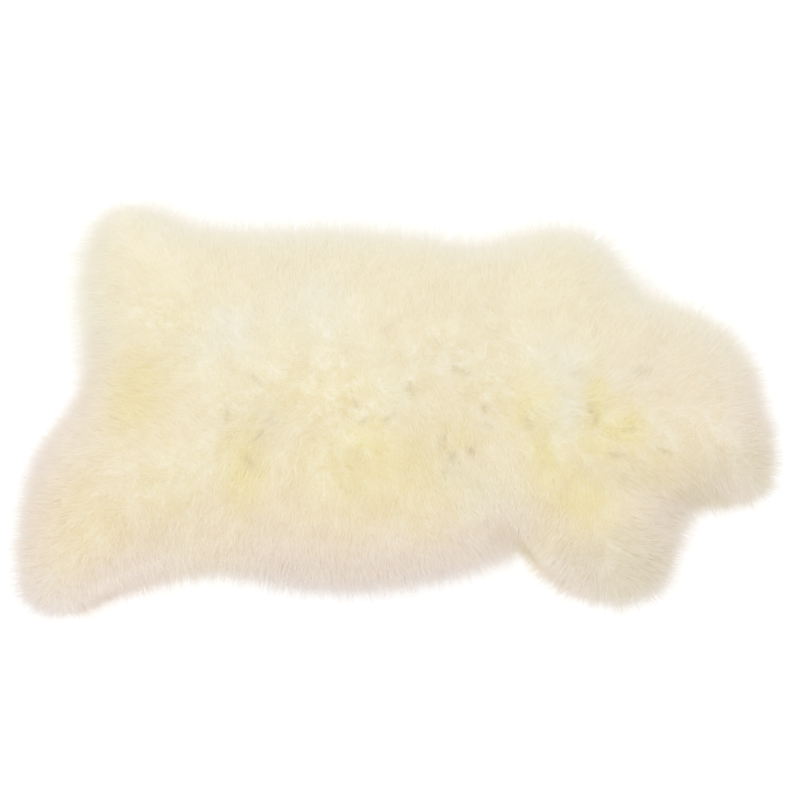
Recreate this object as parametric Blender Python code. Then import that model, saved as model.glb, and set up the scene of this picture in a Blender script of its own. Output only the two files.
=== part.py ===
"""A sheepskin rug: one tanned hide with the wool left on, lying flat with the wool up.

Hide and wool are one piece, so the rug is one solid. Its outline is the edge of the wool, with the
four legs, the neck and the tail edge, its underside is the flat hide, and its top is the pile's
uneven surface. Units are metres, +Z is up and +X points from the tail to the neck.
"""

import math

import bmesh
import bpy
from mathutils import Vector

# Driving sizes
PILE_HEIGHT = 0.048    # depth of the brushed wool away from the edges
OUTLINE_STEPS = 3      # pieces of the outline between two neighbouring outline points
TOP_RINGS = 14         # bands of faces on the pile's top, from the rolled edge to the middle
MIDDLE_SHARE = 0.05    # size of the innermost ring, as a share of the outline's

WOOL_COLOUR = (0.86, 0.78, 0.58, 1.0)
WOOL_ROUGHNESS = 0.95

# Outline of the wool seen from above, anticlockwise from the neck's end, as (x, y).
# A smooth closed curve runs through the points.
OUTLINE = {
    "neck end": ((0.503, -0.020), (0.498, 0.045), (0.472, 0.095)),
    "far side of the neck": ((0.425, 0.134), (0.366, 0.155)),
    "far front leg": ((0.335, 0.207), (0.312, 0.256), (0.265, 0.287), (0.205, 0.280), (0.150, 0.257)),
    "far flank": ((0.090, 0.256), (0.020, 0.274), (-0.060, 0.284), (-0.160, 0.286), (-0.260, 0.282)),
    "far hind leg": ((-0.335, 0.290), (-0.425, 0.334), (-0.469, 0.316), (-0.480, 0.255)),
    "tail edge": ((-0.480, 0.170), (-0.460, 0.088), (-0.450, 0.014), (-0.468, -0.036), (-0.496, -0.090)),
    "near hind leg": ((-0.503, -0.160), (-0.495, -0.235), (-0.479, -0.295), (-0.430, -0.316)),
    "near flank": ((-0.377, -0.293), (-0.310, -0.269), (-0.250, -0.259), (-0.190, -0.268),
                   (-0.120, -0.282), (-0.040, -0.283), (0.040, -0.270), (0.105, -0.253), (0.155, -0.230)),
    "near front leg": ((0.188, -0.264), (0.238, -0.296), (0.295, -0.298), (0.340, -0.266), (0.363, -0.210)),
    "near side of the neck": ((0.393, -0.170), (0.448, -0.162), (0.489, -0.148), (0.505, -0.095)),
}

# Section through the rolled edge of the pile, from the underside up and inwards,
# as (distance in from the outline, share of the pile height).
EDGE_SECTION = (
    (0.012, 0.00),
    (0.004, 0.07),
    (0.000, 0.24),
    (0.003, 0.44),
    (0.010, 0.62),
    (0.022, 0.77),
    (0.038, 0.88),
    (0.058, 0.95),
)

# Mounds and hollows of the pile, as (x, y, spread, rise): the wool stands fuller over the
# shoulders, rump and legs, and parts along the back and at the roots of the legs.
PILE_RELIEF = (
    (-0.380, 0.190, 0.080, 0.004),
    (-0.250, 0.090, 0.070, 0.005),
    (-0.350, -0.010, 0.060, -0.005),
    (-0.420, -0.200, 0.070, 0.004),
    (-0.215, -0.060, 0.050, -0.006),
    (-0.170, 0.210, 0.060, -0.004),
    (-0.100, 0.080, 0.070, 0.005),
    (-0.080, -0.180, 0.080, 0.004),
    (-0.010, -0.010, 0.050, 0.003),
    (0.000, 0.170, 0.070, 0.004),
    (0.075, -0.075, 0.050, -0.006),
    (0.110, 0.030, 0.060, -0.003),
    (0.160, 0.160, 0.070, 0.004),
    (0.180, -0.060, 0.040, -0.004),
    (0.215, 0.030, 0.060, 0.004),
    (0.280, -0.030, 0.045, -0.007),
    (0.270, -0.210, 0.060, 0.004),
    (0.365, -0.150, 0.045, -0.005),
    (0.360, 0.060, 0.080, 0.003),
    (0.440, -0.060, 0.050, 0.003),
    (0.150, -0.215, 0.035, -0.005),
    (-0.300, -0.180, 0.060, -0.004),
)


def smooth_closed_curve(points, steps):
    """Points along the Catmull-Rom curve through a closed list of points."""
    curve = []
    for index, start in enumerate(points):
        before = points[index - 1]
        end = points[(index + 1) % len(points)]
        after = points[(index + 2) % len(points)]
        for step in range(steps):
            t = step / steps
            curve.append(0.5 * (
                2 * start
                + (end - before) * t
                + (2 * before - 5 * start + 4 * end - after) * t ** 2
                + (3 * start - before - 3 * end + after) * t ** 3
            ))
    return curve


def middle_of_extent(outline):
    """The middle of the box around the outline, which becomes the rug's origin."""
    across = [point.x for point in outline]
    along = [point.y for point in outline]
    return Vector((min(across) + max(across), min(along) + max(along))) / 2


def pile_relief(place):
    """Rise of the pile's surface over its even height at a place seen from above."""
    rise = 0.0
    for x, y, spread, height in PILE_RELIEF:
        distance = math.hypot(place.x - x, place.y - y)
        rise += height * math.exp(-(distance / spread) ** 2)
    return rise


def raised(place, height_share):
    """The point over a place, at a share of the pile's height there."""
    height = height_share * (PILE_HEIGHT + pile_relief(place))
    return Vector((place.x, place.y, height))


def edge_ring(outline, inset, height_share):
    """One ring of the rolled edge, moved in from the outline towards the middle."""
    return [raised(point - point.normalized() * inset, height_share) for point in outline]


def top_ring(outline, share):
    """One ring of the pile's top, from the rolled edge at share 0 to the middle at share 1."""
    edge_inset, edge_height = EDGE_SECTION[-1]
    height_share = edge_height + (1 - edge_height) * math.sin(share * math.pi / 2)
    ring = []
    for point in outline:
        start = point - point.normalized() * edge_inset
        ring.append(raised(start.lerp(point * MIDDLE_SHARE, share), height_share))
    return ring


def add_band(mesh, lower, upper):
    """A band of four-sided faces between two rings of vertices."""
    for index in range(len(lower)):
        following = (index + 1) % len(lower)
        mesh.faces.new((lower[index], lower[following], upper[following], upper[index]))


def add_middle(mesh, ring):
    """A fan of faces from the innermost ring to the middle point."""
    middle = mesh.verts.new(raised(Vector((0, 0)), 1))
    for index in range(len(ring)):
        following = (index + 1) % len(ring)
        mesh.faces.new((ring[index], ring[following], middle))


def sheepskin_mesh():
    """The closed form of the rug: flat underside, rolled wool edge and uneven top."""
    corners = [Vector(point) for stretch in OUTLINE.values() for point in stretch]
    outline = smooth_closed_curve(corners, OUTLINE_STEPS)
    rings = [edge_ring(outline, inset, height_share) for inset, height_share in EDGE_SECTION]
    rings += [top_ring(outline, step / TOP_RINGS) for step in range(1, TOP_RINGS + 1)]

    mesh = bmesh.new()
    vertex_rings = [[mesh.verts.new(point) for point in ring] for ring in rings]
    mesh.faces.new(reversed(vertex_rings[0]))
    for lower, upper in zip(vertex_rings, vertex_rings[1:]):
        add_band(mesh, lower, upper)
    add_middle(mesh, vertex_rings[-1])
    bmesh.ops.translate(mesh, verts=mesh.verts, vec=-middle_of_extent(outline).to_3d())
    data = bpy.data.meshes.new("sheepskin")
    mesh.to_mesh(data)
    mesh.free()
    data.shade_smooth()
    return data


def wool_material():
    """Ivory brushed wool."""
    material = bpy.data.materials.new("ivory wool")
    material.use_nodes = True
    shader = material.node_tree.nodes["Principled BSDF"]
    shader.inputs["Base Color"].default_value = WOOL_COLOUR
    shader.inputs["Roughness"].default_value = WOOL_ROUGHNESS
    shader.inputs["Metallic"].default_value = 0.0
    return material


for old_object in list(bpy.data.objects):
    bpy.data.objects.remove(old_object)

sheepskin = bpy.data.objects.new("sheepskin", sheepskin_mesh())
sheepskin.data.materials.append(wool_material())
bpy.context.scene.collection.objects.link(sheepskin)
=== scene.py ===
"""A sheepskin rug, lying wool side up on a pale studio floor: the tanned hide underneath, the dense
wool that grows from it, and the brushed locks on top, which hang over the hide's edge all round."""

import math

import bpy
import numpy as np
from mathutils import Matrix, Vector, noise


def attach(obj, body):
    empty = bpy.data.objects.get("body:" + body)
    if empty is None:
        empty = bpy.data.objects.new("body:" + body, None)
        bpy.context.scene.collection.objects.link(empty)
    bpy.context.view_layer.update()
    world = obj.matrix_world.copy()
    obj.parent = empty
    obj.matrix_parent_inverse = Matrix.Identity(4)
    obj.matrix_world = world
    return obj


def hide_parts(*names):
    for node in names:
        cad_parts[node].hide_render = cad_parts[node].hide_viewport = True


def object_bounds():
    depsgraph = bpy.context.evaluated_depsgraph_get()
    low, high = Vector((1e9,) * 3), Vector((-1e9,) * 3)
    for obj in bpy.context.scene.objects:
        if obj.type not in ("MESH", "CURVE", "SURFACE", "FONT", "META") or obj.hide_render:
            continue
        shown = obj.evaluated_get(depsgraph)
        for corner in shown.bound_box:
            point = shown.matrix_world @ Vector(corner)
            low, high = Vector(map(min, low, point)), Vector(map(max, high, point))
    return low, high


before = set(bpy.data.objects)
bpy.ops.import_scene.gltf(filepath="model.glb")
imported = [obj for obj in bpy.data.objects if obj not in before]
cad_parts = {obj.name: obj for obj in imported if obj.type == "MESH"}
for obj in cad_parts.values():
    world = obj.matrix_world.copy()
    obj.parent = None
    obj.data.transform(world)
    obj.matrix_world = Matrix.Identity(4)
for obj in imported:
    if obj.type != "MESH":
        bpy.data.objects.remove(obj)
solid_low, solid_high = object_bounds()

# The hide --------------------------------------------------------------------------------------
# The sheep's own skin, tanned to a soft pale suede about 2 mm thick. It is cut with a knife round
# the neck, the legs and the tail edge, a finger's width inside the ends of the wool.

HIDE_THICKNESS = 0.002
HIDE_INSET = 0.012        # from the rug's underside to the cut edge of the skin
SUEDE_LIGHT = (0.71, 0.60, 0.44, 1)
SUEDE_DARK = (0.55, 0.43, 0.29, 1)


def pick(piece):
    """Leaves this piece alone selected and active."""
    bpy.ops.object.select_all(action="DESELECT")
    piece.select_set(True)
    bpy.context.view_layer.objects.active = piece


def copy_of_rug(name):
    """The rug's solid as a piece of its own, its loose triangles merged."""
    piece = bpy.data.objects.new(name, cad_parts["sheepskin"].data.copy())
    piece.data.materials.clear()
    bpy.context.scene.collection.objects.link(piece)
    pick(piece)
    bpy.ops.object.mode_set(mode="EDIT")
    bpy.ops.mesh.select_all(action="SELECT")
    bpy.ops.mesh.remove_doubles(threshold=0.00001)
    bpy.ops.mesh.customdata_custom_splitnormals_clear()
    bpy.ops.object.mode_set(mode="OBJECT")
    return piece


def node(tree, kind, place, **settings):
    """Adds a shader node, with its properties and input values set by name."""
    made = tree.nodes.new(kind)
    made.location = place
    for key, value in settings.items():
        if hasattr(made, key):
            setattr(made, key, value)
        else:
            made.inputs[key.replace("_", " ")].default_value = value
    return made


def suede():
    """Tanned skin's flesh side: short nap, cloudy colour and fine creases."""
    material = bpy.data.materials.new("suede")
    material.use_nodes = True
    tree = material.node_tree
    shader = tree.nodes["Principled BSDF"]
    shader.inputs["Roughness"].default_value = 0.9
    shader.inputs["Sheen Weight"].default_value = 0.3
    place = node(tree, "ShaderNodeTexCoord", (-1000, 0))
    clouds = node(tree, "ShaderNodeTexNoise", (-800, 200), Scale=14.0, Detail=6.0, Roughness=0.65)
    nap = node(tree, "ShaderNodeTexNoise", (-800, -100), Scale=900.0, Detail=3.0)
    creases = node(tree, "ShaderNodeTexVoronoi", (-800, -400), feature="DISTANCE_TO_EDGE",
                   Scale=70.0)
    colours = node(tree, "ShaderNodeValToRGB", (-600, 200))
    colours.color_ramp.elements[0].position = 0.3
    colours.color_ramp.elements[0].color = SUEDE_DARK
    colours.color_ramp.elements[1].position = 0.65
    colours.color_ramp.elements[1].color = SUEDE_LIGHT
    relief = node(tree, "ShaderNodeMath", (-600, -200), operation="ADD")
    bump = node(tree, "ShaderNodeBump", (-400, -200), Strength=0.4, Distance=0.0006)
    for texture in (clouds, nap, creases):
        tree.links.new(place.outputs["Object"], texture.inputs["Vector"])
    tree.links.new(clouds.outputs["Fac"], colours.inputs["Fac"])
    tree.links.new(colours.outputs["Color"], shader.inputs["Base Color"])
    tree.links.new(nap.outputs["Fac"], relief.inputs[0])
    tree.links.new(creases.outputs["Distance"], relief.inputs[1])
    tree.links.new(relief.outputs[0], bump.inputs["Height"])
    tree.links.new(bump.outputs["Normal"], shader.inputs["Normal"])
    return material


bpy.context.tool_settings.mesh_select_mode = (False, False, True)
hide = copy_of_rug("hide")
for face in hide.data.polygons:
    face.select = face.normal.z < -0.9 and face.center.z < 0.0001
bpy.ops.object.mode_set(mode="EDIT")
bpy.ops.mesh.select_all(action="INVERT")
bpy.ops.mesh.delete(type="FACE")
bpy.ops.mesh.select_all(action="SELECT")
bpy.ops.mesh.dissolve_limited(angle_limit=math.radians(1))
bpy.ops.object.mode_set(mode="OBJECT")
underside = np.array([hide.data.vertices[k].co[:2] for k in hide.data.polygons[0].vertices])
bpy.ops.object.mode_set(mode="EDIT")
bpy.ops.mesh.select_all(action="SELECT")
bpy.ops.mesh.inset(thickness=HIDE_INSET, use_even_offset=False)
bpy.ops.mesh.select_all(action="INVERT")
bpy.ops.mesh.delete(type="FACE")
bpy.ops.mesh.select_all(action="SELECT")
bpy.ops.mesh.quads_convert_to_tris()
bpy.ops.object.mode_set(mode="OBJECT")
thicken = hide.modifiers.new("thickness", "SOLIDIFY")
thicken.thickness = HIDE_THICKNESS
thicken.offset = -1
bpy.ops.object.modifier_apply(modifier=thicken.name)
hide.data.materials.append(suede())
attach(hide, "root")

# The dense wool --------------------------------------------------------------------------------
# The close inner wool that fills the pile from the skin up. It stands in soft lumps and shows only
# where the locks part.

WOOL_DEPTH_OFF = 0.010    # how far the dense wool stays below the ends of the locks
WOOL_GRAIN = 0.0052       # size of the dense wool's faces
SKIN_GAP = 0.0003         # between the skin and the dense wool
LUMP_SIZE = 0.016
LUMP_HEIGHT = 0.003
EDGE_PULL = 0.035         # how far beyond the edge the wool is combed towards
NOISE_SHIFT = (17.3, 5.1, 9.7)    # from one seed's noise to the next's

IVORY = (0.987, 0.958, 0.857, 1)
HONEY = (0.982, 0.943, 0.685, 1)
# Rosy grey: painted shade on the near edge.
NEAR_EDGE_SHADE = (0.960, 0.915, 0.906, 1)
BLUSH = (0.978, 0.933, 0.860, 1)
# Chalky white: bleached patches, and painted light on the edges away from the near side.
CHALK_AND_EDGE_LIGHT = (0.974, 0.962, 0.912, 1)
# Dull beige: painted shade beside the near front leg and the neck, and duller wool elsewhere.
DULL_AND_SHADE = (0.925, 0.887, 0.777, 1)
# Ash grey: painted shade along the very near edge.
NEAR_FRINGE_SHADE = (0.915, 0.890, 0.875, 1)
# Pale cream: painted light at the far edge.
FAR_EDGE_LIGHT = (0.991, 0.983, 0.962, 1)
# Warm brown: painted shadow where the locks would part.
PARTING_SHADE = (0.870, 0.820, 0.670, 1)

EDGE_TINT_REACH = 0.085   # how far in from the edge the edge's painted shade and painted light reach
EDGE_TINT_FALL = 1.3      # how quickly they fade on the way in
NEAR_FADE = 0.25          # width of the band where the near side's painted shade gives way to the far side's painted light
FAR_FADE = 0.15           # from the middle line to where the far side's wool is fully its own
FAR_EDGE_LIGHT_REACH = 0.035
FAR_EDGE_LIGHT_STRENGTH = 0.85
NEAR_FRINGE_SHADE_REACH = 0.005
HONEY_LOST = 0.7          # how much of the honey tint gives way towards the edge, to the edge's painted shade and light
PATCH_RAGGEDNESS = ((0.012, 0.030, 5), (0.006, 0.008, 6))    # as (shift, size, seed)

# Where the wool is yellower, as (x, y, reach along x, reach along y, strength).
HONEY_PATCHES = (
    (-0.365, -0.018, 0.041, 0.068, 0.78),
    (-0.425, -0.215, 0.080, 0.080, 0.42),
    (-0.210, -0.128, 0.028, 0.060, 0.78),
    (-0.110, -0.023, 0.120, 0.050, 0.25),
    (-0.030, -0.133, 0.110, 0.070, 0.45),
    (0.065, -0.080, 0.038, 0.026, 0.38),
    (0.170, -0.033, 0.030, 0.050, 0.60),
    (0.190, -0.113, 0.030, 0.060, 0.65),
    (0.262, -0.038, 0.016, 0.050, 1.00),
    (0.294, -0.070, 0.030, 0.030, 1.00),
    (0.230, -0.168, 0.045, 0.045, 0.75),
    (0.340, -0.133, 0.060, 0.030, 0.35),
    (-0.320, 0.100, 0.040, 0.045, 0.22),
    (-0.315, -0.150, 0.045, 0.080, 0.22),
    (-0.048, -0.093, 0.042, 0.028, 0.72),
    (0.022, -0.202, 0.030, 0.040, 0.30),
    (0.258, -0.098, 0.040, 0.030, 0.55),
    (-0.330, -0.085, 0.040, 0.040, 0.18),
    (-0.141, 0.079, 0.030, 0.030, 0.12),
    (0.120, -0.010, 0.040, 0.030, 0.16),
    (-0.365, -0.262, 0.030, 0.030, 0.20),
)

# Where it is bleached paler.
CHALK_PATCHES = (
    (-0.250, 0.077, 0.055, 0.050, 0.90),
    (-0.130, 0.117, 0.060, 0.070, 0.75),
    (-0.150, 0.207, 0.090, 0.060, 0.30),
    (-0.015, -0.018, 0.030, 0.040, 0.60),
    (0.215, 0.027, 0.045, 0.045, 0.75),
    (0.222, -0.043, 0.022, 0.040, 0.80),
    (0.140, -0.173, 0.030, 0.060, 0.35),
    (0.210, -0.068, 0.024, 0.028, 1.00),
    (0.066, -0.132, 0.027, 0.026, 0.62),
    (0.100, -0.168, 0.036, 0.042, 0.60),
    (0.270, 0.002, 0.050, 0.022, 0.48),
    (-0.405, 0.020, 0.040, 0.050, 0.20),
    (-0.182, -0.045, 0.032, 0.035, 0.25),
)

# Where it is pinker.
BLUSH_PATCHES = (
    (-0.430, -0.223, 0.110, 0.120, 1.00),
    (-0.100, -0.213, 0.300, 0.060, 0.50),
    (0.280, -0.213, 0.100, 0.080, 0.50),
    (0.400, -0.033, 0.130, 0.120, 0.50),
)

# Where it is darker and duller: painted shade beside the near front leg and the neck, and darker,
# duller wool here and there along the back.
DULL_AND_SHADE_PATCHES = (
    (0.290, -0.268, 0.080, 0.060, 1.00),
    (0.355, -0.218, 0.035, 0.060, 0.58),
    (0.400, -0.168, 0.050, 0.030, 1.00),
    (0.480, -0.128, 0.050, 0.050, 1.00),
    (0.290, -0.143, 0.080, 0.030, 0.40),
    (0.155, -0.240, 0.017, 0.015, 1.00),
    (0.440, -0.133, 0.060, 0.040, 0.65),
    (-0.315, 0.100, 0.035, 0.045, 0.18),
    (0.020, 0.040, 0.170, 0.030, 0.16),
    (0.135, 0.115, 0.050, 0.040, 0.13),
    (-0.075, -0.130, 0.040, 0.060, 0.14),
    (0.320, -0.080, 0.035, 0.030, 0.15),
    (0.120, -0.010, 0.040, 0.030, 0.10),
    (0.349, 0.043, 0.030, 0.030, 0.16),
)

# Where the near edge's painted shade is left off, so that the wool there stays creamier.
NEAR_EDGE_UNSHADED_PATCHES = (
    (-0.245, -0.235, 0.060, 0.050, 0.70),
    (0.165, -0.232, 0.050, 0.040, 0.80),
)

# Short strokes of painted shadow on the wool, where the locks would part, as (x, y, turn in
# degrees, length).
PARTING_SHADE_WIDTH = 0.0022
PARTING_SHADES = (
    (-0.240, -0.053, 85, 0.018),
    (-0.205, 0.002, -45, 0.022),
    (-0.205, -0.123, -50, 0.016),
    (-0.195, -0.083, 60, 0.012),
    (-0.180, -0.063, -30, 0.012),
    (-0.065, -0.038, -60, 0.012),
    (-0.055, -0.063, 50, 0.012),
    (-0.020, -0.058, 40, 0.016),
    (0.010, -0.013, -75, 0.020),
    (0.055, -0.083, 70, 0.014),
    (0.055, -0.138, 60, 0.010),
    (0.065, -0.113, 60, 0.012),
    (0.080, 0.017, -25, 0.022),
    (0.090, -0.108, -35, 0.010),
    (0.110, -0.043, 80, 0.014),
    (0.115, -0.068, -45, 0.012),
    (0.170, -0.063, -65, 0.018),
    (0.240, 0.012, 0, 0.012),
    (0.260, -0.048, -75, 0.030),
    (0.285, -0.113, -5, 0.016),
    (0.305, -0.073, 0, 0.012),
    (0.335, 0.017, 0, 0.020),
    (0.350, -0.108, -25, 0.018),
    (0.153, -0.239, 30, 0.008),
)


def patchiness(places, patches):
    """How far each place lies in the given patches, from 0 to 1."""
    found = np.zeros(len(places))
    for x, y, reach_x, reach_y, strength in patches:
        away = np.hypot((places[:, 0] - x) / reach_x, (places[:, 1] - y) / reach_y)
        found = np.maximum(found, strength * np.exp(-away ** 2))
    return found


def near_parting_shades(places):
    """How near each place is to a stroke of painted parting shadow, from 0 to 1."""
    nearness = np.zeros(len(places))
    for x, y, turn, length in PARTING_SHADES:
        line = np.array((math.cos(math.radians(turn)), math.sin(math.radians(turn))))
        offset = places[:, :2] - (x, y)
        along = np.clip(offset @ line, -length / 2, length / 2)
        away = np.linalg.norm(offset - along[:, None] * line, axis=1)
        nearness = np.maximum(nearness, np.exp(-(away / PARTING_SHADE_WIDTH) ** 2))
    return nearness


def keep_values(piece, **values):
    """Stores one number for each vertex, which the material reads by name."""
    for name, numbers in values.items():
        made = piece.data.attributes.new(name, "FLOAT", "POINT")
        made.data.foreach_set("value", np.asarray(numbers, np.float32))


def wool_colours(name, grain, pile_shade):
    """Natural wool: ivory with honey, chalky, pinker and duller patches; painted shade in rosy and
    ashy grey at the near edge, beside the near front leg and the neck, and in short strokes where
    locks would part;
    painted light at the far edge and on the sides; and painted shade darker down in the pile. grain
    is the scale of its streaks and pile_shade how light that painted shade leaves the lowest wool."""
    material = bpy.data.materials.new(name)
    material.use_nodes = True
    tree = material.node_tree
    shader = tree.nodes["Principled BSDF"]
    shader.inputs["Roughness"].default_value = 0.8
    shader.inputs["Specular IOR Level"].default_value = 0.15
    shader.inputs["Sheen Weight"].default_value = 0.25
    shader.inputs["Sheen Roughness"].default_value = 0.5
    place = node(tree, "ShaderNodeTexCoord", (-1400, 300))
    clouds = node(tree, "ShaderNodeTexNoise", (-1200, 300), Scale=grain, Detail=5.0, Roughness=0.6)
    tree.links.new(place.outputs["Object"], clouds.inputs["Vector"])
    uneven = node(tree, "ShaderNodeMapRange", (-1000, 300))
    uneven.inputs["From Min"].default_value = 0.3
    uneven.inputs["From Max"].default_value = 0.7
    uneven.inputs["To Min"].default_value = 0.55
    uneven.inputs["To Max"].default_value = 1.0
    tree.links.new(clouds.outputs["Fac"], uneven.inputs["Value"])
    colour = None
    tints = (("blush", BLUSH), ("chalk_and_edge_light", CHALK_AND_EDGE_LIGHT), ("near_edge_shade", NEAR_EDGE_SHADE), ("pale", FAR_EDGE_LIGHT), ("dull_and_shade", DULL_AND_SHADE),
             ("near_fringe_shade", NEAR_FRINGE_SHADE), ("honey", HONEY), ("parting_shade", PARTING_SHADE))
    for step, (value, tint) in enumerate(tints):
        reader = node(tree, "ShaderNodeAttribute", (-1200, -200 * step), attribute_name=value)
        share = node(tree, "ShaderNodeMath", (-800, -200 * step), operation="MULTIPLY")
        blend = node(tree, "ShaderNodeMix", (-600 + 200 * step, -200 * step), data_type="RGBA")
        blend.inputs[7].default_value = tint
        tree.links.new(reader.outputs["Fac"], share.inputs[0])
        tree.links.new(uneven.outputs["Result"], share.inputs[1])
        tree.links.new(share.outputs[0], blend.inputs[0])
        if colour is None:
            blend.inputs[6].default_value = IVORY
        else:
            tree.links.new(colour, blend.inputs[6])
        colour = blend.outputs[2]
    # Painted shade down in the pile, with each lock's own tone: the light value darkens the colour
    # down to pile_shade.
    depth = node(tree, "ShaderNodeAttribute", (-600, -900), attribute_name="light")
    darkness = node(tree, "ShaderNodeMapRange", (-400, -900))
    darkness.inputs["To Min"].default_value = pile_shade
    darkness.inputs["To Max"].default_value = 1.0
    shade = node(tree, "ShaderNodeMix", (200, -400), data_type="RGBA", blend_type="MULTIPLY")
    shade.inputs["Factor"].default_value = 1.0
    tree.links.new(depth.outputs["Fac"], darkness.inputs["Value"])
    tree.links.new(colour, shade.inputs["A"])
    tree.links.new(darkness.outputs["Result"], shade.inputs["B"])
    tree.links.new(shade.outputs["Result"], shader.inputs["Base Color"])
    return material


def places_of(piece):
    """The piece's vertices as an array."""
    flat = np.empty(len(piece.data.vertices) * 3, np.float32)
    piece.data.vertices.foreach_get("co", flat)
    return flat.reshape(-1, 3).astype(float)


def edge_of_rug(places):
    """For each place, the distance to the underside's edge, and an arrow out over that edge, which
    is about 1 long there and fades towards the rug's middle."""
    distance = np.full(len(places), np.inf)
    way = np.zeros((len(places), 2))
    weight = np.zeros(len(places))
    for start, end in zip(underside, np.roll(underside, -1, axis=0)):
        run = end - start
        offset = places[:, :2] - start
        along = np.clip(offset @ run / (run @ run), 0, 1)
        gap = offset - along[:, None] * run
        distance = np.minimum(distance, np.hypot(gap[:, 0], gap[:, 1]))
        beyond = (start + end) / 2 + EDGE_PULL * np.array((-run[1], run[0])) / np.hypot(*run)
        towards = beyond - places[:, :2]
        away = np.hypot(towards[:, 0], towards[:, 1])
        pull = np.hypot(*run) / away ** 3
        way += towards / away[:, None] * pull[:, None]
        weight += pull
    return distance, way / weight[:, None]


def soft_noise(places, size, seed):
    """A smooth random arrow for each place, which turns over a distance of about size."""
    shift = Vector([seed * step for step in NOISE_SHIFT])
    return np.array([noise.noise_vector(Vector(place) / size + shift) for place in places])


def wool_tints(places, from_edge):
    """The values that the wool's material reads, for each place."""
    edge = np.clip(1 - from_edge / EDGE_TINT_REACH, 0, 1) ** EDGE_TINT_FALL
    near = np.clip(0.5 - places[:, 1] / NEAR_FADE, 0, 1)
    far = np.clip(places[:, 1] / FAR_FADE, 0, 1)
    ragged = places
    for shift, size, seed in PATCH_RAGGEDNESS:
        ragged = ragged + shift * soft_noise(places, size, seed)
    return {
        "honey": patchiness(ragged, HONEY_PATCHES) * (1 - HONEY_LOST * edge),
        # bleached patches, and painted light on the edges away from the near side
        "chalk_and_edge_light": np.maximum(patchiness(ragged, CHALK_PATCHES), edge * (1 - near)),
        "blush": patchiness(ragged, BLUSH_PATCHES),
        # painted shade beside the near front leg and the neck, and darker, duller wool here and
        # there along the back
        "dull_and_shade": patchiness(ragged, DULL_AND_SHADE_PATCHES),
        # painted shadow in short strokes where the locks would part
        "parting_shade": near_parting_shades(places),
        # painted shade, rosy grey, on the near edge, left off in a few creamier patches
        "near_edge_shade": edge * near * (1 - patchiness(ragged, NEAR_EDGE_UNSHADED_PATCHES)),
        # painted light, pale cream, at the far edge
        "pale": FAR_EDGE_LIGHT_STRENGTH * np.clip(1 - from_edge / FAR_EDGE_LIGHT_REACH, 0, 1) * far,
        # painted shade, ash grey, along the very near edge
        "near_fringe_shade": np.exp(-(from_edge / NEAR_FRINGE_SHADE_REACH) ** 2) * near,
    }


noise.seed_set(4)
dense_wool = copy_of_rug("dense_wool")
bpy.ops.object.mode_set(mode="EDIT")
bpy.ops.mesh.select_all(action="SELECT")
bpy.ops.transform.shrink_fatten(value=-WOOL_DEPTH_OFF)
rug_top = solid_high.z
wool_top = rug_top - WOOL_DEPTH_OFF
stretch = (wool_top - HIDE_THICKNESS) / (wool_top - WOOL_DEPTH_OFF)
bpy.ops.transform.resize(value=(1, 1, stretch), center_override=(0, 0, wool_top))
bpy.ops.object.mode_set(mode="OBJECT")
root_shell = dense_wool.data.copy()

even = dense_wool.modifiers.new("even faces", "REMESH")
even.mode = "VOXEL"
even.voxel_size = WOOL_GRAIN
bpy.ops.object.modifier_apply(modifier=even.name)
lumps = bpy.data.textures.new("lumps", "CLOUDS")
lumps.noise_scale = LUMP_SIZE
lumps.noise_depth = 3
swell = dense_wool.modifiers.new("lumps", "DISPLACE")
swell.texture = lumps
swell.strength = LUMP_HEIGHT
swell.mid_level = 0.6
bpy.ops.object.modifier_apply(modifier=swell.name)
places = places_of(dense_wool)
places[:, 2] = np.maximum(places[:, 2], HIDE_THICKNESS + SKIN_GAP)
dense_wool.data.vertices.foreach_set("co", places.astype(np.float32).ravel())
dense_wool.data.shade_smooth()
from_edge, _ = edge_of_rug(places)
# Painted shade: the dense wool is darker the lower it lies in the pile.
light = np.clip(places[:, 2] / wool_top, 0, 1) ** 2
keep_values(dense_wool, light=light, **wool_tints(places, from_edge))
dense_wool.data.materials.append(wool_colours("dense wool", grain=160.0, pile_shade=0.93))
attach(dense_wool, "root")
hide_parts("sheepskin")

# The locks -------------------------------------------------------------------------------------
# The long ends of the wool, washed and brushed out. Each is a thin wisp of fibres that stands up
# from the dense wool, leans the way the fleece was combed and runs out to a point. They lie in
# swirls over the back and hang out over the hide's edge all round.

LOCKS = 220_000
LOCK_GROUPS = ("rump", "loin", "back", "shoulders", "neck")
SIDE_DENSITY = 1.5        # how much denser the locks grow on the rolled edge

TOP_LENGTH = 0.021
EDGE_LENGTH = 0.011
LEAST_LENGTH = 0.004
MOST_LENGTH = 0.040
FAR_EXTRA = 0.022         # how much longer the longest locks are at the far edge
UNEVENNESS = 0.15         # of the locks' lengths, and twice that on the rolled edge
FRINGE_REACH = 0.03       # how far in from the edge the locks hang loose
LOOSENESS = 2.6           # how much longer the loosest locks of the fringe are
FAR_LOOSENESS = 4.0       # and how much more so at the far edge
FAR_LENGTHENING = 0.5     # how much the rolled edge's locks lengthen towards the far side
SHORTENING = 0.4          # in the short patches

LOCK_WIDTH = 0.00032      # from a lock's middle to its corners, at its root
WIDTH_RANGE = (0.6, 1.3)  # of the thinnest and the thickest lock, against LOCK_WIDTH
SIDE_THINNING = 0.35      # how much thinner the locks of the rolled edge are
LOOSE_THINNING = 0.3      # and the loose ones
LOCK_FLATNESS = 0.6       # a lock's thickness against its width
LOCK_LIGHT = 0.975        # how light a lock is at its tip, on average
LIGHT_UNEVENNESS = 0.010
ROOT_LIGHT = 0.94         # how light its root is against its tip: painted shade down in the pile

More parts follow.
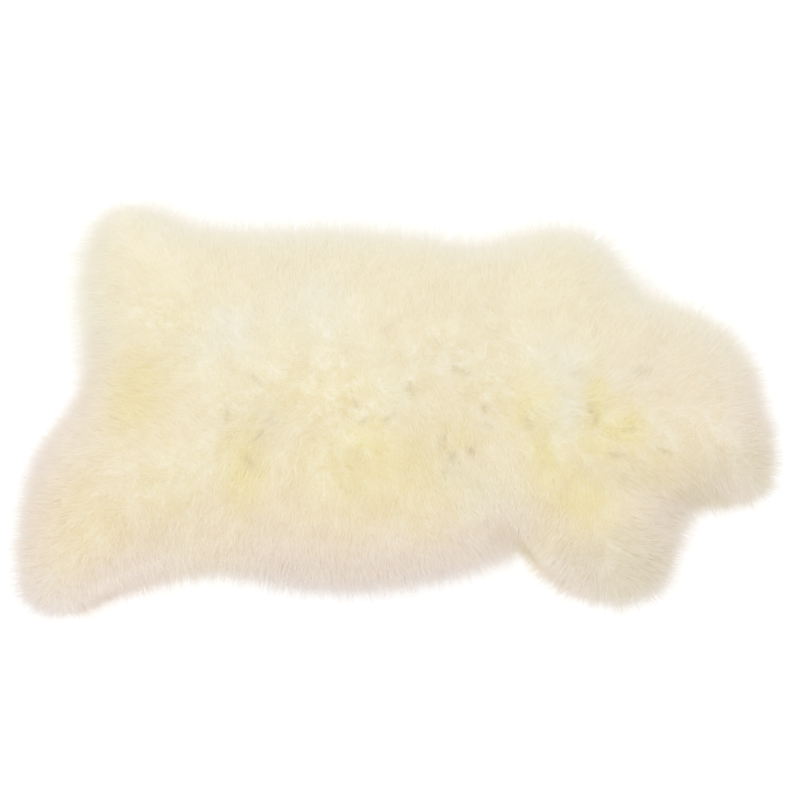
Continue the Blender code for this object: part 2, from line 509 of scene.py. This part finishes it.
SWIRL_SIZE = 0.16
RUFFLE_SIZE = 0.025
OUTWARD = 1.3             # strength of the comb out over the edges
EDGE_SWIRL = 0.1          # strength of the swirls and ruffles there, and how much more inside
EDGE_RUFFLE = 0.1
INNER_SWIRL = 0.28
INNER_RUFFLE = 0.36
FULLY_LAID = 0.8          # strength of the comb at which the locks lie right over

RISING_SHARE = 0.53       # of a lock's length, before it falls over
STRAY = 0.13              # how far chance turns each lock
DROOP = 0.10              # how far its weight pulls a lock down, and how much more at the edge
SIDE_DROOP = 0.45
LOOSE_LIFT = 0.6          # how much less the loose locks droop
UPRIGHT_LOSS = 0.35       # how much shorter the locks are that stand upright

TUFT_SPACING = 0.010
TUFT_RAGGEDNESS = 0.6     # of the tufts' borders, against their spacing
RAGGEDNESS_SIZE = 0.012
TUFT_LEAN = 0.12
TUFT_UNEVENNESS = 0.10    # of the tufts' lengths
TUFT_PULL = 0.2           # how far a lock's tip is drawn to its tuft's
COMBED_REACH = 0.01       # from the edge, within which the tufts are combed out
COMBED_FADE = 0.04
TUFTS_LEFT = 0.1          # of the tufts, where they are combed out

SIDE_LIMIT = np.array((0.542, 0.351))    # how far the tips reach along x and y
TOP_LIMIT = 0.006         # and over the solid's top
TIP_CLEARANCE = 0.0004    # of the tips over the floor
LOCK_CLEARANCE = 0.0003   # of the rest of the locks

# Where the locks are shorter, as (x, y, reach along x, reach along y, strength).
SHORT_PATCHES = (
    (-0.440, -0.315, 0.080, 0.050, 0.40),
    (-0.370, -0.300, 0.030, 0.030, 0.60),
    (0.153, -0.240, 0.020, 0.020, 0.60),
    (0.400, -0.180, 0.035, 0.025, 0.35),
)
random = np.random.default_rng(7)


def unit(arrows):
    """The arrows, each made 1 long."""
    return arrows / (np.linalg.norm(arrows, axis=-1, keepdims=True) + 1e-12)


def lock_roots(mesh, count):
    """Roots spread over a shell, denser on its rolled edge and none on its underside, with the
    shell's normal at each."""
    mesh.calc_loop_triangles()
    corners = np.empty(len(mesh.loop_triangles) * 3, np.int32)
    mesh.loop_triangles.foreach_get("vertices", corners)
    corners = corners.reshape(-1, 3)
    flat = np.empty(len(mesh.vertices) * 3, np.float32)
    mesh.vertices.foreach_get("co", flat)
    points = flat.reshape(-1, 3).astype(float)
    mesh.vertices.foreach_get("normal", flat)
    normals = flat.reshape(-1, 3).astype(float)
    a, b, c = (points[corners[:, k]] for k in range(3))
    cross = np.cross(b - a, c - a)
    area = np.linalg.norm(cross, axis=1) / 2
    facing = cross[:, 2] / (2 * area + 1e-12)
    area = np.where(facing < -0.5, 0, area)
    side = 1 - np.clip(facing, 0, 1)
    area = area * (1 + SIDE_DENSITY * side)
    face = random.choice(len(area), count, p=area / area.sum())
    u, v = random.random((2, count, 1))
    u, v = np.where(u + v > 1, 1 - u, u), np.where(u + v > 1, 1 - v, v)
    roots = a[face] + u * (b - a)[face] + v * (c - a)[face]
    na, nb, nc = (normals[corners[face, k]] for k in range(3))
    return roots, unit(na + u * (nb - na) + v * (nc - na))


def swirls(places, size, seed):
    """Arrows that turn smoothly over a distance of about size, and nowhere spread from a point."""
    step = 0.1 * size
    right, left, up, down = (soft_noise(places + shift, size, seed)[:, 0] for shift in
                             ((step, 0, 0), (-step, 0, 0), (0, step, 0), (0, -step, 0)))
    return np.column_stack((up - down, left - right)) * (0.5 * size / step)


def combed(places, way_out):
    """The way that the fleece lies at each place, seen from above: out over the edges, and in
    uneven swirls between them."""
    inside = 1 - np.clip(np.linalg.norm(way_out, axis=1), 0, 1)[:, None]
    swirl = swirls(places, SWIRL_SIZE, 1)
    ruffle = soft_noise(places, RUFFLE_SIZE, 2)[:, :2]
    way = (way_out * OUTWARD + swirl * (EDGE_SWIRL + INNER_SWIRL * inside)
           + ruffle * (EDGE_RUFFLE + INNER_RUFFLE * inside))
    return way / np.maximum(np.linalg.norm(way, axis=1), FULLY_LAID)[:, None]


def one_lock():
    """One lock, standing on z = 0 and 1 high: a three-sided spike. Returns its points and faces."""
    bpy.ops.object.select_all(action="DESELECT")
    bpy.ops.mesh.primitive_cone_add(vertices=3, radius1=1, radius2=0, depth=1, location=(0, 0, 0.5))
    lock = bpy.context.active_object
    bpy.ops.object.transform_apply(location=True)
    points = places_of(lock)
    faces = [tuple(face.vertices) for face in lock.data.polygons]
    bpy.data.objects.remove(lock)
    return points, faces


def tuft_mean(values):
    """For each lock, the mean of its tuft's values."""
    sums = np.stack([np.bincount(tuft, values[:, k]) for k in range(3)], axis=1)
    return (sums / np.bincount(tuft)[:, None])[tuft]


roots, normals = lock_roots(root_shell, LOCKS)
roots[:, 2] = np.maximum(roots[:, 2], HIDE_THICKNESS)
side = 1 - np.clip(normals[:, 2], 0, 1)
from_edge, way_out = edge_of_rug(roots)
flow = np.column_stack((combed(roots, way_out), np.zeros(len(roots))))

# Tufts: locks near each other lean together, and draw in towards the tuft's tip. The tufts are
# combed out of the wool's edge.
raggedness = TUFT_RAGGEDNESS * soft_noise(roots, RAGGEDNESS_SIZE, 3)
tuft = np.round(roots / TUFT_SPACING + raggedness).astype(int)
_, tuft = np.unique(tuft, axis=0, return_inverse=True)
tuft = tuft.reshape(-1)
tuft_count = tuft.max() + 1
tufted = np.clip((from_edge - COMBED_REACH) / COMBED_FADE, TUFTS_LEFT, 1)[:, None]
tuft_lean = random.normal(0, TUFT_LEAN, (tuft_count, 3))[tuft] * tufted
tuft_length = 1 + random.normal(0, TUFT_UNEVENNESS, tuft_count)[tuft] * tufted[:, 0]
tuft_shade = random.normal(0, 1, tuft_count)[tuft]

# Lengths: the locks of the rolled edge are shorter, but for the loose ones that make the fringe.
far = np.clip(roots[:, 1] / FAR_FADE, 0, 1)
loose = np.clip(1 - from_edge / FRINGE_REACH, 0, 1) * random.random(LOCKS) ** (2 + far)
length = (TOP_LENGTH + (EDGE_LENGTH - TOP_LENGTH) * side) * tuft_length
length *= 1 + UNEVENNESS * (1 + side) * random.normal(0, 1, LOCKS)
length *= 1 + (LOOSENESS + FAR_LOOSENESS * far) * loose
length *= 1 + FAR_LENGTHENING * np.clip(roots[:, 1] / NEAR_FADE, -0.5, 0.3) * side
length *= 1 - SHORTENING * patchiness(roots, SHORT_PATCHES)
length = np.clip(length, LEAST_LENGTH, MOST_LENGTH + FAR_EXTRA * far)[:, None]

# Ways: each lock first rises from the skin, then falls over the way that it is combed. The numbers
# say how strongly the skin, the comb, the lock's weight, its tuft and chance turn it.
stray = random.normal(0, STRAY, (LOCKS, 3))
rise = unit(normals * 0.9 + flow * 0.9 + tuft_lean * 0.8 + stray)
down = np.array((0, 0, -1.0))
droop = (DROOP + SIDE_DROOP * side * (1 - LOOSE_LIFT * loose))[:, None]
upright = 1 - np.linalg.norm(flow, axis=1)[:, None]
fall = unit(flow * (1 - 0.25 * side[:, None]) + normals * (0.1 + 0.5 * upright) + down * droop
            + tuft_lean * 0.6 + stray * 1.2)
bent = rise * RISING_SHARE + fall * (1 - RISING_SHARE)
tip = roots + bent * length * (1 - UPRIGHT_LOSS * upright)
tip += (tuft_mean(tip) - tip) * TUFT_PULL * tufted
tip[:, :2] = np.clip(tip[:, :2], -SIDE_LIMIT, SIDE_LIMIT)
tip[:, 2] = np.clip(tip[:, 2], TIP_CLEARANCE, rug_top + TOP_LIMIT)

lock_points, lock_faces = one_lock()
width = LOCK_WIDTH * random.uniform(*WIDTH_RANGE, LOCKS)
width = width * (1 - SIDE_THINNING * side) * (1 - LOOSE_THINNING * loose)
tints = wool_tints(roots, from_edge)
# The locks take the painted parting shadow by their middles, so it lies where they cross a stroke.
tints["parting_shade"] = near_parting_shades((roots + tip) / 2)
shade = LOCK_LIGHT + LIGHT_UNEVENNESS * (tuft_shade + random.normal(0, 1, LOCKS))
shade = np.minimum(shade, 1)
bands = np.array_split(np.argsort(roots[:, 0], kind="stable"), len(LOCK_GROUPS))
lock_material = wool_colours("wool locks", grain=60.0, pile_shade=0.8)


def grow_locks(name, which):
    """One group of locks as a piece: the single lock set out from each root to its tip."""
    start, end = roots[which][:, None], tip[which][:, None]
    heading = unit(end - start)
    across = unit(np.cross(heading, normals[which][:, None] + 0.001))
    above = np.cross(across, heading)
    thick = width[which][:, None, None]
    points = start + (end - start) * lock_points[:, 2][None, :, None]
    points = points + across * lock_points[:, 0][None, :, None] * thick
    points = points + above * lock_points[:, 1][None, :, None] * thick * LOCK_FLATNESS
    points[:, :, 2] = np.maximum(points[:, :, 2], LOCK_CLEARANCE)
    each = len(lock_points)
    faces = [tuple(corner + each * k for corner in face)
             for k in range(len(which)) for face in lock_faces]
    mesh = bpy.data.meshes.new(name)
    mesh.from_pydata(points.reshape(-1, 3), [], faces)
    piece = bpy.data.objects.new(name, mesh)
    bpy.context.scene.collection.objects.link(piece)
    # A lock's light: its own tone, with painted shade darker towards its root.
    light = shade[which][:, None] * (ROOT_LIGHT + (1 - ROOT_LIGHT) * lock_points[:, 2][None])
    values = {value: np.repeat(numbers[which], each) for value, numbers in tints.items()}
    keep_values(piece, light=light.ravel(), **values)
    piece.data.materials.append(lock_material)
    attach(piece, "root")
    return piece


wool_pieces = [grow_locks("locks_" + name, which) for name, which in zip(LOCK_GROUPS, bands)]

# The studio ------------------------------------------------------------------------------------
# A wide pale floor that gives off some light of its own, a white room all round, and one large soft
# lamp above and behind the rug. The camera looks down on the rug from its near side.

FLOOR_SIZE = 60
FLOOR_GREY = (0.30, 0.30, 0.30, 1)
WHITE = (1, 1, 1, 1)
CAMERA_RISE = math.radians(62)    # above the floor
CAMERA_DISTANCE = 1.3303
LENS_ANGLE = math.radians(45)
LOOK_AT = Vector((-0.0049, -0.0254, 0.030))
LIGHT_BOUNCES = 32        # pale wool passes most of its light on from lock to lock

bpy.ops.object.select_all(action="DESELECT")
bpy.ops.mesh.primitive_plane_add(size=FLOOR_SIZE, location=(0, 0, 0))
floor = bpy.context.active_object
floor.name = "floor"
paint = bpy.data.materials.new("floor paint")
paint.use_nodes = True
floor_shader = paint.node_tree.nodes["Principled BSDF"]
floor_shader.inputs["Base Color"].default_value = FLOOR_GREY
floor_shader.inputs["Emission Color"].default_value = WHITE
floor_shader.inputs["Emission Strength"].default_value = 0.80
floor_shader.inputs["Roughness"].default_value = 1.0
floor_shader.inputs["Specular IOR Level"].default_value = 0.0
floor.data.materials.append(paint)

room = bpy.data.worlds.new("studio")
room.use_nodes = True
room_light = room.node_tree.nodes["Background"]
room_light.inputs["Color"].default_value = WHITE
room_light.inputs["Strength"].default_value = 0.920
bpy.context.scene.world = room

lamp_data = bpy.data.lights.new("soft lamp", "AREA")
lamp_data.shape = "DISK"
lamp_data.size = 2.2
lamp_data.energy = 6
lamp = bpy.data.objects.new("soft lamp", lamp_data)
lamp.location = (-1.1, 1.0, 1.8)
lamp.rotation_euler = (-lamp.location).to_track_quat("-Z", "Y").to_euler()
bpy.context.scene.collection.objects.link(lamp)

camera_data = bpy.data.cameras.new("camera")
camera_data.sensor_width = 36
camera_data.angle = LENS_ANGLE
camera = bpy.data.objects.new("camera", camera_data)
way_back = Vector((0, -math.cos(CAMERA_RISE), math.sin(CAMERA_RISE)))
camera.location = LOOK_AT + CAMERA_DISTANCE * way_back
camera.rotation_euler = (math.pi / 2 - CAMERA_RISE, 0, 0)
bpy.context.scene.collection.objects.link(camera)
bpy.context.scene.camera = camera
bpy.context.scene.view_settings.view_transform = "Standard"
bpy.context.scene.cycles.diffuse_bounces = LIGHT_BOUNCES
bpy.context.scene.cycles.max_bounces = LIGHT_BOUNCES
